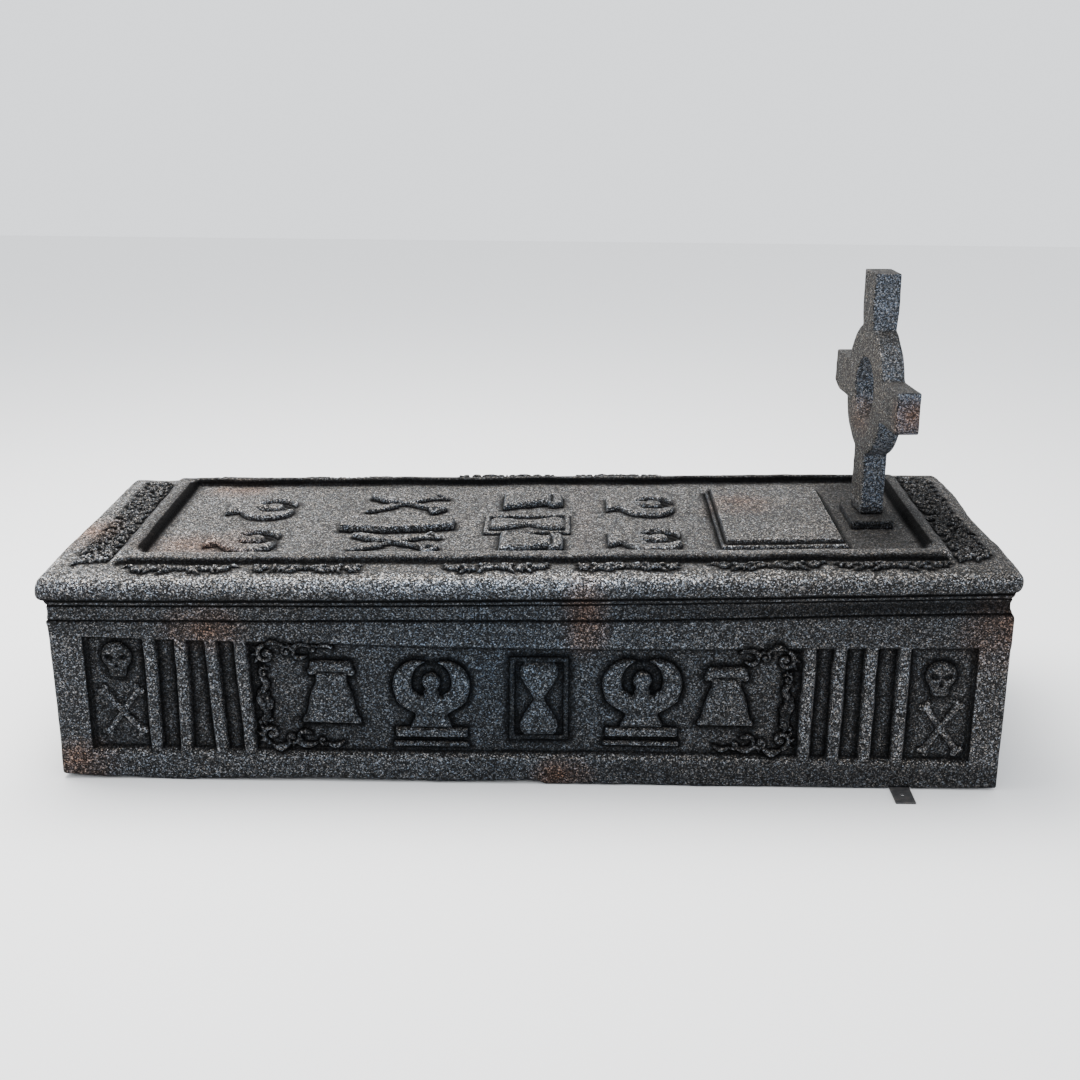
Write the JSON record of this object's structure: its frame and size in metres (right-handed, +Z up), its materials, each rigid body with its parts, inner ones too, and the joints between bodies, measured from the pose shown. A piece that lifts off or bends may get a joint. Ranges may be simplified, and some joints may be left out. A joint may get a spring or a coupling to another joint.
{
  "type": "table tomb with ring-headed cross",
  "caption": "Low carved table tomb with a slab lid, mortality emblems and a ring-headed cross at the head end.",
  "frame": {"origin": "centre of the whole footprint, on the floor", "axes": "+X along the tomb towards the head end with the cross, +Y towards the back, +Z up; the richly carved long side faces -Y"},
  "size_m": [1.9998, 0.846, 1.0249],
  "materials": {
    "stone_coating": "sprayed grey stone-effect hard coat with dark washes",
    "tab_steel": "dull dark grey paint over flat steel bar"
  },
  "bodies": {
    "root": {"chest": "stone_coating", "lid": "stone_coating", "cross_foot": "stone_coating", "cross": "stone_coating", "floor_bracket": "tab_steel"}
  },
  "joints": []
}
